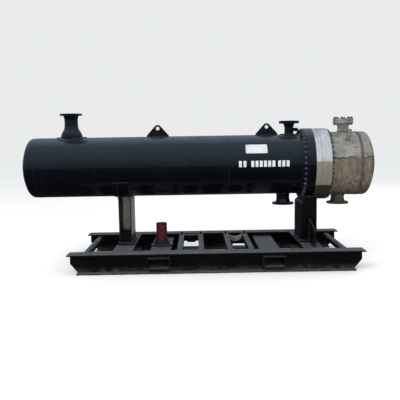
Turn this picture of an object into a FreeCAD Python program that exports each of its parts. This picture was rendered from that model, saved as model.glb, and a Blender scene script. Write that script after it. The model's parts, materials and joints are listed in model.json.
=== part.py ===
import FreeCAD, Part
import math
import os

# Shell and tube heat exchanger on a fork-lift skid.
# Millimetres, +Z up, +X towards the channel end, origin at the bottom centre of the whole.
# Stations along the shell are measured from the seam of the rear head.

V = FreeCAD.Vector
X_AXIS = V(1, 0, 0)
Y_AXIS = V(0, 1, 0)
Z_AXIS = V(0, 0, 1)

# Clearances
HOLE_CLEARANCE = 0.3
CURVED_SEAT_GAP = 0.3
POCKET_CLEARANCE = 0.5

# Shell
SHELL_OD = 762.0
SHELL_WALL = 12.7
REAR_BARREL_LENGTH = 2413.0
FRONT_BARREL_LENGTH = 913.0
REAR_HEAD_STRAIGHT = 60.0
REAR_HEAD_KNUCKLE = 76.0
BUNDLE_CLEARANCE = 38.0
BUNDLE_START = 40.0

# Girth joint between the shell and the channel
GIRTH_STANDOUT = 74.0
GIRTH_HUB_LENGTH = 40.0
GIRTH_HUB_STANDOUT = 22.0
SHELL_FLANGE_THICKNESS = 108.0
TUBESHEET_THICKNESS = 70.0
CHANNEL_FLANGE_THICKNESS = 123.0

# Channel
CHANNEL_STEP = 25.5
CHANNEL_WALL = 13.0
CHANNEL_BARREL_LENGTH = 388.0
CHANNEL_HEAD_STRAIGHT = 88.0
CHANNEL_HEAD_KNUCKLE = 50.0

# Skid
SKID_WIDTH = 1550.0
SKID_START = 452.0
SKID_FRONT_REACH = 576.0
BEAM_DEPTH = 240.0
BEAM_FLANGE_WIDTH = 200.0
BEAM_FLANGE_THICKNESS = 14.0
BEAM_WEB_THICKNESS = 10.0
WEB_END_INSET = 22.0
FOOT_END_INSET = 111.0
AXIS_ABOVE_SKID = 995.0

# Cross members under the supports
CROSS_MEMBER_WIDTH = 240.0
CROSS_MEMBER_RISE = 40.0
CROSS_MEMBER_FLANGE = 14.0
CROSS_MEMBER_WEB = 10.0

# Fork pockets
POCKET_SPACING = 1380.0
POCKET_WIDTH = 260.0
POCKET_HEIGHT = 130.0
POCKET_WALL = 10.0
POCKET_END_INSET = 2.0

# End pipes of the skid
END_PIPE_OD = 88.9
END_PIPE_WALL = 6.0
END_PIPE_INSET = 165.0
END_PIPE_DROP = 70.0

# Cross bars with their pipe cradles, placed from the middle of the skid
BAR_WIDTH = 66.0
BAR_DEPTH = 76.0
REAR_BARS_AT = -308.0
REAR_BARS_SPACING = 264.0
FRONT_BARS_AT = 308.0
FRONT_BARS_SPACING = 264.0
PEG_DIAMETER = 28.0
PEG_HEIGHT = 36.0
PEG_INSET = 62.0
CRADLE_INSET = 20.0
CRADLE_LENGTH = 70.0
CRADLE_DROP = 10.0
CRADLE_TOP_SAG = 34.0
CRADLE_BOTTOM_SAG = 96.0
CRADLE_EDGE = 22.0
REAR_CRADLE_BLOCK_WIDTH = 116.0
REAR_CRADLE_BLOCK_DROP = 100.0

# Windows in the web of the far beam: start, end, bottom and top, from the middle of the skid
WEB_WINDOWS = ((-431.0, -156.0, 25.0, 112.0), (284.0, 486.0, 16.0, 62.0))
WINDOW_FILLET = 8.0

# Pipe stub on the rear fork pocket
STUB_PIPE_OD = 141.3
STUB_PIPE_WALL = 6.6
STUB_CONE_OD = 206.0
STUB_CONE_HEIGHT = 104.0
STUB_BASE_OD = 214.0
STUB_BASE_THICKNESS = 22.0
STUB_EAR_OFFSET = 114.0
STUB_EAR_RADIUS = 28.0
STUB_EAR_HOLE = 14.0
STUB_HEIGHT = 306.0

# Rear saddle
REAR_SADDLE_AT = 1090.0
REAR_SADDLE_LENGTH = 160.0
SADDLE_HALF_WIDTH = 215.0
SADDLE_PLATE = 12.0
WEAR_PLATE = 10.0
WEAR_PLATE_LENGTH = 216.0
WEAR_PLATE_ANGLE = 62.0
HORN_ANGLE = 58.0
HORN_WIDTH = 14.0
HORN_ROOT_DROP = 39.0
SADDLE_RIB_AT = 150.0
BASE_PLATE = 30.0
TOE_HEIGHT = 130.0

# Front support under the girth joint
COLUMN_OFFSET = 60.0
COLUMN_LENGTH = 200.0
COLUMN_HALF_WIDTH = 237.0
CRADLE_PLATE = 20.0
SHOULDER_DROP = 37.0
COLUMN_WEB_INSET = 14.0
GUSSET_THICKNESS = 14.0
GUSSET_OFFSET = 9.0
GUSSET_TIP_HEIGHT = 206.0
GUSSET_ROOT_HEIGHT = 300.0
GUSSET_END_INSET = 26.0

# Lifting lugs
LUG_WIDTH = 280.0
LUG_HEIGHT = 148.0
LUG_THICKNESS = 25.0
LUG_TIP_RADIUS = 46.0
LUG_HOLE_RADIUS = 22.5
LUG_TOE = 16.0

# Stations along the shell
REAR_NOZZLE_AT = 411.0
REAR_LUG_AT = 1517.0
FRONT_LUG_BACK = 449.0
FRONT_NOZZLE_BACK = 160.0
BOTTOM_NOZZLE_BACK = 236.0
CHANNEL_TOP_FROM_FLANGE = 236.0
CHANNEL_BOTTOM_FROM_FLANGE = 176.0

# Rear top nozzle: a reducer carries its neck
REDUCER_BASE_OD = 273.0
REDUCER_HEIGHT = 164.0
REDUCER_WALL = 9.3
REAR_PAD_RADIUS = 182.0
PAD_THICKNESS = 10.0

# Front top nozzle
FRONT_PAD_RADIUS = 112.0
COUPLING_OD = 45.0
COUPLING_BORE = 26.0
COUPLING_REACH = 58.0
COUPLING_HEIGHT = 62.0

# Vent coupling on the near side of the channel
VENT_LENGTH = 150.0
VENT_OD = 46.0
VENT_BORE = 27.0
VENT_ELEVATION = 50.0
VENT_FROM_FLANGE = 232.0

# Blank plate on the near side of the shell
TAG_LENGTH = 266.0
TAG_HEIGHT = 126.0
TAG_THICKNESS = 2.0
TAG_ELEVATION = 34.0
TAG_BACK = 611.0

# Flanged nozzles: sizes of the neck, flange and bolting
REAR_TOP = dict(bore=77.0, neck=84.15, hub=96.0, hub_length=48.0, flange=139.7, thickness=25.4,
                face=108.0, bolt_circle=120.65, bolt_hole=11.1, standout=308.0)
FRONT_TOP = dict(bore=48.6, neck=57.15, hub=73.0, hub_length=44.0, flange=127.0, thickness=36.0,
                 face=78.5, bolt_circle=100.1, bolt_hole=11.1, standout=176.0)
BOTTOM = dict(REAR_TOP, standout=139.0)
CHANNEL_TOP = dict(bore=61.0, neck=70.65, hub=82.0, hub_length=34.0, flange=127.0,
                   thickness=31.8, face=92.0, bolt_circle=107.95, bolt_hole=11.1, standout=136.7)
CHANNEL_BOTTOM = dict(REAR_TOP, standout=115.5)
COVER_THICKNESS = 31.8
RAISED_FACE = 1.6
BOLTS_PER_FLANGE = 8
NECK_INNER_REACH = 10.0

# Derived sizes and stations
SHELL_R = SHELL_OD / 2
SHELL_INNER_R = SHELL_R - SHELL_WALL
GIRTH_R = SHELL_R + GIRTH_STANDOUT
CHANNEL_R = SHELL_R + CHANNEL_STEP
CHANNEL_INNER_R = CHANNEL_R - CHANNEL_WALL
AXIS_Z = BEAM_DEPTH + AXIS_ABOVE_SKID
FRONT_BARREL_END = REAR_BARREL_LENGTH + FRONT_BARREL_LENGTH
GIRTH_AT = FRONT_BARREL_END + GIRTH_HUB_LENGTH
TUBESHEET_AT = GIRTH_AT + SHELL_FLANGE_THICKNESS
CHANNEL_FLANGE_AT = TUBESHEET_AT + TUBESHEET_THICKNESS
CHANNEL_AT = CHANNEL_FLANGE_AT + CHANNEL_FLANGE_THICKNESS
CHANNEL_HEAD_AT = CHANNEL_AT + CHANNEL_BARREL_LENGTH
FRONT_SUPPORT_AT = GIRTH_AT + COLUMN_OFFSET
SKID_END = FRONT_SUPPORT_AT + SKID_FRONT_REACH
SKID_MIDDLE = (SKID_START + SKID_END) / 2
BEAM_INNER_EDGE = SKID_WIDTH / 2 - BEAM_FLANGE_WIDTH
BEAM_MIDDLE = SKID_WIDTH / 2 - BEAM_FLANGE_WIDTH / 2
WEB_INNER_FACE = BEAM_MIDDLE - BEAM_WEB_THICKNESS / 2
POCKET_STATIONS = (SKID_MIDDLE - POCKET_SPACING / 2, SKID_MIDDLE + POCKET_SPACING / 2)
POCKET_Z = BEAM_DEPTH / 2
BAR_PAIRS = ((SKID_MIDDLE + REAR_BARS_AT, REAR_BARS_SPACING),
             (SKID_MIDDLE + FRONT_BARS_AT, FRONT_BARS_SPACING))


def dish_depth(radius, knuckle):
    """Depth of a dished head whose crown radius is its own diameter."""
    crown = 2 * radius
    return crown - math.sqrt((crown - knuckle) ** 2 - (radius - knuckle) ** 2)


OVERALL_START = -REAR_HEAD_STRAIGHT - dish_depth(SHELL_R, REAR_HEAD_KNUCKLE)
OVERALL_END = CHANNEL_HEAD_AT + CHANNEL_HEAD_STRAIGHT + dish_depth(CHANNEL_R, CHANNEL_HEAD_KNUCKLE)
ORIGIN_STATION = (OVERALL_START + OVERALL_END) / 2


def at(station, y=0.0, z=0.0):
    """Point at a station along the shell, in the frame of the whole."""
    return V(station - ORIGIN_STATION, y, z)


def box(start, end, y0, y1, z0, z1):
    """Box between two stations, two sides and two heights."""
    return Part.makeBox(end - start, y1 - y0, z1 - z0, at(start, y0, z0))


def cylinder(radius, start, end):
    """Solid cylinder about the shell axis between two stations."""
    return Part.makeCylinder(radius, end - start, at(start, 0, AXIS_Z), X_AXIS)


def tube(outer, inner, start, end):
    """Tube about the shell axis between two stations."""
    return cylinder(outer, start, end).cut(cylinder(inner, start, end))


def polygon(points):
    """Flat face from its corner points."""
    return Part.Face(Part.makePolygon(points + points[:1]))


def radial(shape, station, elevation):
    """Turn a shape built along +Z from the shell axis, and place it at a station.

    An elevation of 90 points up, 0 points to the near side and -90 points down.
    """
    placed = shape.copy()
    placed.rotate(V(0, 0, 0), X_AXIS, 90.0 - elevation)
    placed.translate(at(station, 0, AXIS_Z))
    return placed


def post(radius, height):
    """Cylinder along +Z from the shell axis, used as a nozzle hole."""
    return Part.makeCylinder(radius, height)


def plate_between(outline, start, end):
    """Plate across the skid: (y, z) outline, thick from one station to the other."""
    points = [at(start, y, z) for y, z in outline]
    return polygon(points).extrude(V(end - start, 0, 0))


# Shell and channel

def dished_head(radius, wall, straight, knuckle):
    """Head about +Z with its open end at z = 0 and its crown up."""
    crown = 2 * radius
    centre = straight + dish_depth(radius, knuckle) - crown
    tilt = math.asin((radius - knuckle) / (crown - knuckle))

    def outline(offset):
        r, k, c = radius - offset, knuckle - offset, crown - offset
        bend = tilt + (math.pi / 2 - tilt) / 2
        knuckle_middle = V(radius - knuckle + k * math.sin(bend), 0, straight + k * math.cos(bend))
        joint = V(c * math.sin(tilt), 0, centre + c * math.cos(tilt))
        crown_middle = V(c * math.sin(tilt / 2), 0, centre + c * math.cos(tilt / 2))
        rim, shoulder, apex = V(r, 0, 0), V(r, 0, straight), V(0, 0, centre + c)
        return rim, shoulder, knuckle_middle, joint, crown_middle, apex

    outer, inner = outline(0), outline(wall)
    edges = []
    for rim, shoulder, knuckle_middle, joint, crown_middle, apex in (outer, inner):
        edges.append(Part.makeLine(rim, shoulder))
        edges.append(Part.Arc(shoulder, knuckle_middle, joint).toShape())
        edges.append(Part.Arc(joint, crown_middle, apex).toShape())
    edges.append(Part.makeLine(outer[0], inner[0]))
    edges.append(Part.makeLine(outer[-1], inner[-1]))
    face = Part.Face(Part.Wire(Part.__sortEdges__(edges)))
    return face.revolve(V(0, 0, 0), Z_AXIS, 360)


def placed_head(head, station, direction):
    """Turn a head so that its crown points along X, and place its open end."""
    placed = head.copy()
    placed.rotate(V(0, 0, 0), Y_AXIS, 90.0 * direction)
    placed.translate(at(station, 0, AXIS_Z))
    return placed


def shell_head():
    head = dished_head(SHELL_R, SHELL_WALL, REAR_HEAD_STRAIGHT, REAR_HEAD_KNUCKLE)
    return placed_head(head, 0.0, -1)


def channel_head():
    head = dished_head(CHANNEL_R, CHANNEL_WALL, CHANNEL_HEAD_STRAIGHT, CHANNEL_HEAD_KNUCKLE)
    return placed_head(head, CHANNEL_HEAD_AT, 1)


def shell_barrel_rear():
    barrel = tube(SHELL_R, SHELL_INNER_R, 0.0, REAR_BARREL_LENGTH)
    opening = post(REDUCER_BASE_OD / 2 - REDUCER_WALL, SHELL_OD)
    return barrel.cut(radial(opening, REAR_NOZZLE_AT, 90))


def shell_barrel_front():
    barrel = tube(SHELL_R, SHELL_INNER_R, REAR_BARREL_LENGTH, FRONT_BARREL_END)
    top = post(FRONT_TOP["neck"] + HOLE_CLEARANCE, SHELL_OD)
    bottom = post(BOTTOM["neck"] + HOLE_CLEARANCE, SHELL_OD)
    barrel = barrel.cut(radial(top, GIRTH_AT - FRONT_NOZZLE_BACK, 90))
    return barrel.cut(radial(bottom, GIRTH_AT - BOTTOM_NOZZLE_BACK, -90))


def shell_girth_flange():
    """Girth flange with a tapered hub towards the shell."""
    outline = [(SHELL_INNER_R, FRONT_BARREL_END), (SHELL_R, FRONT_BARREL_END),
               (SHELL_R + GIRTH_HUB_STANDOUT, GIRTH_AT), (GIRTH_R, GIRTH_AT),
               (GIRTH_R, TUBESHEET_AT), (SHELL_INNER_R, TUBESHEET_AT)]
    profile = polygon([at(station, 0, AXIS_Z + radius) for radius, station in outline])
    return profile.revolve(at(0, 0, AXIS_Z), X_AXIS, 360)


def tubesheet():
    return cylinder(GIRTH_R, TUBESHEET_AT, CHANNEL_FLANGE_AT)


def channel_girth_flange():
    return tube(GIRTH_R, CHANNEL_INNER_R, CHANNEL_FLANGE_AT, CHANNEL_AT)


def channel_barrel():
    barrel = tube(CHANNEL_R, CHANNEL_INNER_R, CHANNEL_AT, CHANNEL_HEAD_AT)
    top = post(CHANNEL_TOP["neck"] + HOLE_CLEARANCE, 2 * CHANNEL_R)
    bottom = post(CHANNEL_BOTTOM["neck"] + HOLE_CLEARANCE, 2 * CHANNEL_R)
    vent = post(VENT_BORE / 2, 2 * CHANNEL_R)
    barrel = barrel.cut(radial(top, CHANNEL_AT + CHANNEL_TOP_FROM_FLANGE, 90))
    barrel = barrel.cut(radial(bottom, CHANNEL_AT + CHANNEL_BOTTOM_FROM_FLANGE, -90))
    return barrel.cut(radial(vent, CHANNEL_AT + VENT_FROM_FLANGE, VENT_ELEVATION))


def tube_bundle():
    return cylinder(SHELL_INNER_R - BUNDLE_CLEARANCE, BUNDLE_START, TUBESHEET_AT)


# Nozzles, pads and couplings

def bolt_holes(nozzle, bottom, top):
    """Bolt holes of a flange, straddling the centre lines."""
    pitch = 360.0 / BOLTS_PER_FLANGE
    holes = []
    for index in range(BOLTS_PER_FLANGE):
        angle = math.radians((index + 0.5) * pitch)
        spot = V(math.cos(angle), math.sin(angle), 0) * nozzle["bolt_circle"] + V(0, 0, bottom)
        holes.append(Part.makeCylinder(nozzle["bolt_hole"], top - bottom, spot))
    return Part.makeCompound(holes)


def flanged_neck(nozzle, inner_end, face):
    """Neck and flange about +Z, open from its flat inner end to its raised face."""
    back = face - nozzle["thickness"]
    shoulder = face - RAISED_FACE
    outline = [(nozzle["bore"], inner_end), (nozzle["neck"], inner_end),
               (nozzle["neck"], back - nozzle["hub_length"]), (nozzle["hub"], back),
               (nozzle["flange"], back), (nozzle["flange"], shoulder),
               (nozzle["face"], shoulder), (nozzle["face"], face), (nozzle["bore"], face)]
    profile = polygon([V(r, 0, z) for r, z in outline])
    body = profile.revolve(V(0, 0, 0), Z_AXIS, 360)
    return body.cut(bolt_holes(nozzle, back - 1, face + 1))


def set_in_neck(nozzle, radius, wall):
    """Flanged neck whose flat inner end lies inside a round wall."""
    inner_wall = radius - wall
    inner_end = math.sqrt(inner_wall ** 2 - nozzle["neck"] ** 2) - NECK_INNER_REACH
    return flanged_neck(nozzle, inner_end, radius + nozzle["standout"])


def curved_pad(outer, hole, thickness):
    """Reinforcing pad that lies on the top of the shell, about +Z."""
    seat = SHELL_R + CURVED_SEAT_GAP
    length = 2 * outer + 2
    start = V(-length / 2, 0, 0)
    skin = Part.makeCylinder(seat + thickness, length, start, X_AXIS)
    skin = skin.cut(Part.makeCylinder(seat, length, start, X_AXIS))
    disc = Part.makeCylinder(outer, SHELL_OD).cut(Part.makeCylinder(hole, SHELL_OD))
    return skin.common(disc)


def reducer_side(base, tip, low, high):
    """Edges of one S-shaped side of the reducer, from its base to its tip."""
    middle = V((base + tip) / 2, 0, (low + high) / 2)
    quarter = (base - tip) / 2
    rise = (high - low) / 2
    radius = (quarter ** 2 + rise ** 2) / (2 * quarter)
    turn = math.asin(rise / radius) / 2
    lower = V(base - radius * (1 - math.cos(turn)), 0, low + radius * math.sin(turn))
    upper = V(tip + radius * (1 - math.cos(turn)), 0, high - radius * math.sin(turn))
    first = Part.Arc(V(base, 0, low), lower, middle).toShape()
    second = Part.Arc(middle, upper, V(tip, 0, high)).toShape()
    return [first, second]


def rear_top_reducer():
    base = REDUCER_BASE_OD / 2
    high = SHELL_R + REDUCER_HEIGHT
    sides = []
    for offset in (0.0, REDUCER_WALL):
        sides += reducer_side(base - offset, REAR_TOP["neck"] - offset, SHELL_R, high)
    foot = math.sqrt(SHELL_R ** 2 - base ** 2)
    outer, inner = base, base - REDUCER_WALL
    sides.append(Part.makeLine(V(outer, 0, SHELL_R), V(outer, 0, foot)))
    sides.append(Part.makeLine(V(inner, 0, SHELL_R), V(inner, 0, foot)))
    sides.append(Part.makeLine(V(outer, 0, foot), V(inner, 0, foot)))
    tip = REAR_TOP["neck"]
    sides.append(Part.makeLine(V(tip, 0, high), V(tip - REDUCER_WALL, 0, high)))
    face = Part.Face(Part.Wire(Part.__sortEdges__(sides)))
    body = face.revolve(V(0, 0, 0), Z_AXIS, 360)
    seat = Part.makeCylinder(SHELL_R + CURVED_SEAT_GAP, SHELL_OD, V(-SHELL_R, 0, 0), X_AXIS)
    return radial(body.cut(seat), REAR_NOZZLE_AT, 90)


def rear_top_nozzle():
    start = SHELL_R + REDUCER_HEIGHT
    return radial(flanged_neck(REAR_TOP, start, SHELL_R + REAR_TOP["standout"]), REAR_NOZZLE_AT, 90)


def rear_top_pad():
    pad = curved_pad(REAR_PAD_RADIUS, REDUCER_BASE_OD / 2 + HOLE_CLEARANCE, PAD_THICKNESS)
    return radial(pad, REAR_NOZZLE_AT, 90)


def front_coupling_hole(radius):
    """Cylinder along +X through the side of the front top neck."""
    return Part.makeCylinder(radius, SHELL_R, V(0, 0, SHELL_R + COUPLING_HEIGHT), X_AXIS)


def front_top_nozzle():
    neck = set_in_neck(FRONT_TOP, SHELL_R, SHELL_WALL)
    neck = neck.cut(front_coupling_hole(COUPLING_BORE / 2))
    return radial(neck, GIRTH_AT - FRONT_NOZZLE_BACK, 90)


def front_top_pad():
    pad = curved_pad(FRONT_PAD_RADIUS, FRONT_TOP["neck"] + HOLE_CLEARANCE, PAD_THICKNESS)
    return radial(pad, GIRTH_AT - FRONT_NOZZLE_BACK, 90)


def front_top_coupling():
    spot = V(0, 0, SHELL_R + COUPLING_HEIGHT)
    reach = FRONT_TOP["neck"] + COUPLING_REACH
    body = Part.makeCylinder(COUPLING_OD / 2, reach, spot, X_AXIS)
    body = body.cut(front_coupling_hole(COUPLING_BORE / 2))
    neck = Part.makeCylinder(FRONT_TOP["neck"] + CURVED_SEAT_GAP, SHELL_OD)
    return radial(body.cut(neck), GIRTH_AT - FRONT_NOZZLE_BACK, 90)


def bottom_nozzle():
    neck = set_in_neck(BOTTOM, SHELL_R, SHELL_WALL)
    return radial(neck, GIRTH_AT - BOTTOM_NOZZLE_BACK, -90)


def channel_top_nozzle():
    neck = set_in_neck(CHANNEL_TOP, CHANNEL_R, CHANNEL_WALL)
    return radial(neck, CHANNEL_AT + CHANNEL_TOP_FROM_FLANGE, 90)


def channel_top_cover():
    seat = CHANNEL_R + CHANNEL_TOP["standout"]
    disc = Part.makeCylinder(CHANNEL_TOP["flange"], COVER_THICKNESS, V(0, 0, seat))
    disc = disc.cut(bolt_holes(CHANNEL_TOP, seat - 1, seat + COVER_THICKNESS + 1))
    return radial(disc, CHANNEL_AT + CHANNEL_TOP_FROM_FLANGE, 90)


def channel_bottom_nozzle():
    neck = set_in_neck(CHANNEL_BOTTOM, CHANNEL_R, CHANNEL_WALL)
    return radial(neck, CHANNEL_AT + CHANNEL_BOTTOM_FROM_FLANGE, -90)


def channel_vent():
    body = Part.makeCylinder(VENT_OD / 2, CHANNEL_R + VENT_LENGTH)
    body = body.cut(Part.makeCylinder(VENT_BORE / 2, CHANNEL_R + VENT_LENGTH))
    seat = Part.makeCylinder(CHANNEL_R + CURVED_SEAT_GAP, VENT_OD, V(-VENT_OD / 2, 0, 0), X_AXIS)
    return radial(body.cut(seat), CHANNEL_AT + VENT_FROM_FLANGE, VENT_ELEVATION)


# Lugs and blank plate

def lifting_lug(station):
    """Triangular plate with a rounded tip, standing on the top of the shell."""
    half = LUG_WIDTH / 2
    tip_z = LUG_HEIGHT - LUG_TIP_RADIUS
    reach = math.hypot(half, tip_z - LUG_TOE)
    lean = math.atan2(tip_z - LUG_TOE, half) + math.asin(LUG_TIP_RADIUS / reach)
    tangent = V(LUG_TIP_RADIUS * math.sin(lean), 0, tip_z + LUG_TIP_RADIUS * math.cos(lean))
    mirrored = V(-tangent.x, 0, tangent.z)
    edges = [Part.Arc(tangent, V(0, 0, LUG_HEIGHT), mirrored).toShape()]
    corners = [mirrored, V(-half, 0, LUG_TOE), V(-half, 0, 0), V(half, 0, 0),
               V(half, 0, LUG_TOE), tangent]
    for first, second in zip(corners, corners[1:]):
        edges.append(Part.makeLine(first, second))
    plate = Part.Face(Part.Wire(edges)).extrude(V(0, LUG_THICKNESS, 0))
    hole = Part.makeCylinder(LUG_HOLE_RADIUS, LUG_THICKNESS, V(0, 0, tip_z), Y_AXIS)
    lug = plate.cut(hole)
    lug.translate(at(station, -LUG_THICKNESS / 2, AXIS_Z + SHELL_R))
    return lug


def tag_plate():
    """Thin curved plate on the near side of the shell."""
    seat = SHELL_R + CURVED_SEAT_GAP
    half_angle = math.degrees(TAG_HEIGHT / 2 / seat)
    start = V(-TAG_LENGTH / 2, 0, 0)
    sweep = 2 * half_angle
    outer = Part.makeCylinder(seat + TAG_THICKNESS, TAG_LENGTH, start, X_AXIS, sweep)
    inner = Part.makeCylinder(seat, TAG_LENGTH, start, X_AXIS, sweep)
    skin = outer.cut(inner)
    middle = skin.BoundBox.Center
    skin.rotate(V(0, 0, 0), X_AXIS, math.degrees(math.atan2(middle.y, middle.z)))
    return radial(skin, GIRTH_AT - TAG_BACK, TAG_ELEVATION)


# Rear saddle

def arc_points(radius, angle, steps=2):
    """(y, z) points of an arc below the shell axis, from the near to the far side."""
    points = []
    for index in range(steps + 1):
        turn = math.radians(-angle + 2 * angle * index / steps)
        points.append((radius * math.sin(turn), AXIS_Z - radius * math.cos(turn)))
    return points


def wrapped_plate(inner, thickness, angle, start, end):
    """Plate bent round the underside of a cylinder about the shell axis."""
    corners = []
    for radius in (inner, inner + thickness):
        corners.append([at(start, y, z) for y, z in arc_points(radius, angle)])
    near, far = [Part.makeLine(corners[0][i], corners[1][i]) for i in (0, 2)]
    arcs = [Part.Arc(*points).toShape() for points in corners]
    wire = Part.Wire(Part.__sortEdges__([arcs[0], far, arcs[1], near]))
    return Part.Face(wire).extrude(V(end - start, 0, 0))


def rear_saddle_wear_plate():
    end = REAR_SADDLE_AT + REAR_SADDLE_LENGTH / 2
    inner = SHELL_R + CURVED_SEAT_GAP
    return wrapped_plate(inner, WEAR_PLATE, WEAR_PLATE_ANGLE, end - WEAR_PLATE_LENGTH, end)


def below_round(shape, radius):
    """Cut away what lies inside a radius about the shell axis."""
    bounds = shape.BoundBox
    length = bounds.XLength + 2
    start = V(bounds.XMin - 1, 0, AXIS_Z)
    return shape.cut(Part.makeCylinder(radius, length, start, X_AXIS))


def saddle_outline():
    """Outline of a rear saddle plate, from the base plate up to its horns."""
    seat = SHELL_R + CURVED_SEAT_GAP + WEAR_PLATE
    turn = math.radians(HORN_ANGLE)
    bottom = BEAM_DEPTH + BASE_PLATE
    horn_top = AXIS_Z - seat * math.cos(turn)
    horn_y = (seat + HORN_WIDTH) * math.sin(turn)
    neck_z = AXIS_Z - SHELL_R - HORN_ROOT_DROP
    inner_y = seat * math.sin(turn)
    side = [(SADDLE_HALF_WIDTH, bottom), (SADDLE_HALF_WIDTH, neck_z), (horn_y, horn_top),
            (inner_y, horn_top)]
    return [(-y, z) for y, z in side] + list(reversed(side))


def rear_saddle_sides():
    seat = SHELL_R + CURVED_SEAT_GAP + WEAR_PLATE
    half = REAR_SADDLE_LENGTH / 2
    plates = []
    for start in (REAR_SADDLE_AT - half, REAR_SADDLE_AT + half - SADDLE_PLATE):
        plate = plate_between(saddle_outline(), start, start + SADDLE_PLATE)
        plates.append(below_round(plate, seat))
    return Part.makeCompound(plates)


def rear_saddle_rib():
    seat = SHELL_R + CURVED_SEAT_GAP + WEAR_PLATE
    half = REAR_SADDLE_LENGTH / 2 - SADDLE_PLATE
    bottom = BEAM_DEPTH + BASE_PLATE
    rib = box(REAR_SADDLE_AT - half, REAR_SADDLE_AT + half, SADDLE_RIB_AT,
              SADDLE_RIB_AT + SADDLE_PLATE, bottom, AXIS_Z)
    return below_round(rib, seat)


def base_plate(station, length, half_width):
    """Base plate of a support, lying on its cross member."""
    return box(station - length / 2, station + length / 2, -half_width, half_width,
               BEAM_DEPTH, BEAM_DEPTH + BASE_PLATE)


def rear_saddle_base():
    length = (REAR_SADDLE_LENGTH + CROSS_MEMBER_WIDTH) / 2
    return base_plate(REAR_SADDLE_AT, length, SADDLE_HALF_WIDTH + SADDLE_PLATE)


def rear_saddle_toes():
    """Low plates that close the foot of the saddle on both sides."""
    half = REAR_SADDLE_LENGTH / 2 - SADDLE_PLATE
    bottom = BEAM_DEPTH + BASE_PLATE
    toes = []
    for y0 in (-SADDLE_HALF_WIDTH, SADDLE_HALF_WIDTH - SADDLE_PLATE):
        toes.append(box(REAR_SADDLE_AT - half, REAR_SADDLE_AT + half, y0, y0 + SADDLE_PLATE,
                        bottom, bottom + TOE_HEIGHT))
    return Part.makeCompound(toes)


# Front support

def column_bounds():
    """Rear and front stations of the front column."""
    return FRONT_SUPPORT_AT - COLUMN_LENGTH / 2, FRONT_SUPPORT_AT + COLUMN_LENGTH / 2


def front_support_cradle():
    inner = GIRTH_R + CURVED_SEAT_GAP
    angle = math.degrees(math.asin(COLUMN_HALF_WIDTH / cradle_underside()))
    return wrapped_plate(inner, CRADLE_PLATE, angle, GIRTH_AT, column_bounds()[1])


def shoulder_corners():
    """Corners (station, z) of the bent rear plate: its outer and its inner face."""
    start = column_bounds()[0]
    shoulder = AXIS_Z - GIRTH_R - SHOULDER_DROP
    lip = shoulder + GIRTH_AT - start
    back = SADDLE_PLATE * math.tan(math.radians(22.5))
    outer = [(start, shoulder), (GIRTH_AT, lip)]
    inner = [(start + SADDLE_PLATE, shoulder - back), (GIRTH_AT + SADDLE_PLATE, lip - back)]
    return outer, inner


def cradle_underside():
    """Radius of the underside of the front cradle."""
    return GIRTH_R + CURVED_SEAT_GAP + CRADLE_PLATE


def front_support_sides():
    """Rear plate bent under the girth joint, and front plate, both cut to the cradle."""
    start, end = column_bounds()
    bottom = BEAM_DEPTH + BASE_PLATE
    outer, inner = shoulder_corners()
    outline = [(start, bottom)] + outer + [(GIRTH_AT, AXIS_Z), (GIRTH_AT + SADDLE_PLATE, AXIS_Z)]
    outline += list(reversed(inner)) + [(start + SADDLE_PLATE, bottom)]
    profile = polygon([at(station, -COLUMN_HALF_WIDTH, z) for station, z in outline])
    rear = profile.extrude(V(0, 2 * COLUMN_HALF_WIDTH, 0))
    front = box(end - SADDLE_PLATE, end, -COLUMN_HALF_WIDTH, COLUMN_HALF_WIDTH, bottom, AXIS_Z)
    seat = cylinder(cradle_underside(), GIRTH_AT, end + 1)
    return Part.makeCompound([rear.cut(seat), front.cut(seat)])


def front_support_webs():
    """Two plates along the shell that join the sides of the front column."""
    start, end = column_bounds()
    bottom = BEAM_DEPTH + BASE_PLATE
    inner = shoulder_corners()[1]
    outline = [(start + SADDLE_PLATE, bottom)] + inner + [(GIRTH_AT + SADDLE_PLATE, AXIS_Z)]
    outline += [(end - SADDLE_PLATE, AXIS_Z), (end - SADDLE_PLATE, bottom)]
    webs = []
    outer = COLUMN_HALF_WIDTH - COLUMN_WEB_INSET
    for y0 in (-outer, outer - SADDLE_PLATE):
        profile = polygon([at(station, y0, z) for station, z in outline])
        web = profile.extrude(V(0, SADDLE_PLATE, 0))
        webs.append(below_round(web, cradle_underside()))
    return Part.makeCompound(webs)


def front_support_base():
    length = (COLUMN_LENGTH + CROSS_MEMBER_WIDTH) / 2
    return base_plate(FRONT_SUPPORT_AT, length, COLUMN_HALF_WIDTH)


def front_support_gussets():
    """Tapered plates from the column to the beams, on both sides."""
    low = BEAM_DEPTH
    web = COLUMN_HALF_WIDTH - COLUMN_WEB_INSET
    tip = BEAM_INNER_EDGE - GUSSET_END_INSET
    start = FRONT_SUPPORT_AT + GUSSET_OFFSET
    outline = [(COLUMN_HALF_WIDTH, low), (tip, low), (tip, low + GUSSET_TIP_HEIGHT),
               (web, low + GUSSET_ROOT_HEIGHT), (web, low + BASE_PLATE),
               (COLUMN_HALF_WIDTH, low + BASE_PLATE)]
    far = plate_between(outline, start, start + GUSSET_THICKNESS)
    near = plate_between([(-y, z) for y, z in outline], start, start + GUSSET_THICKNESS)
    return Part.makeCompound([near, far])


# Skid

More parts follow.
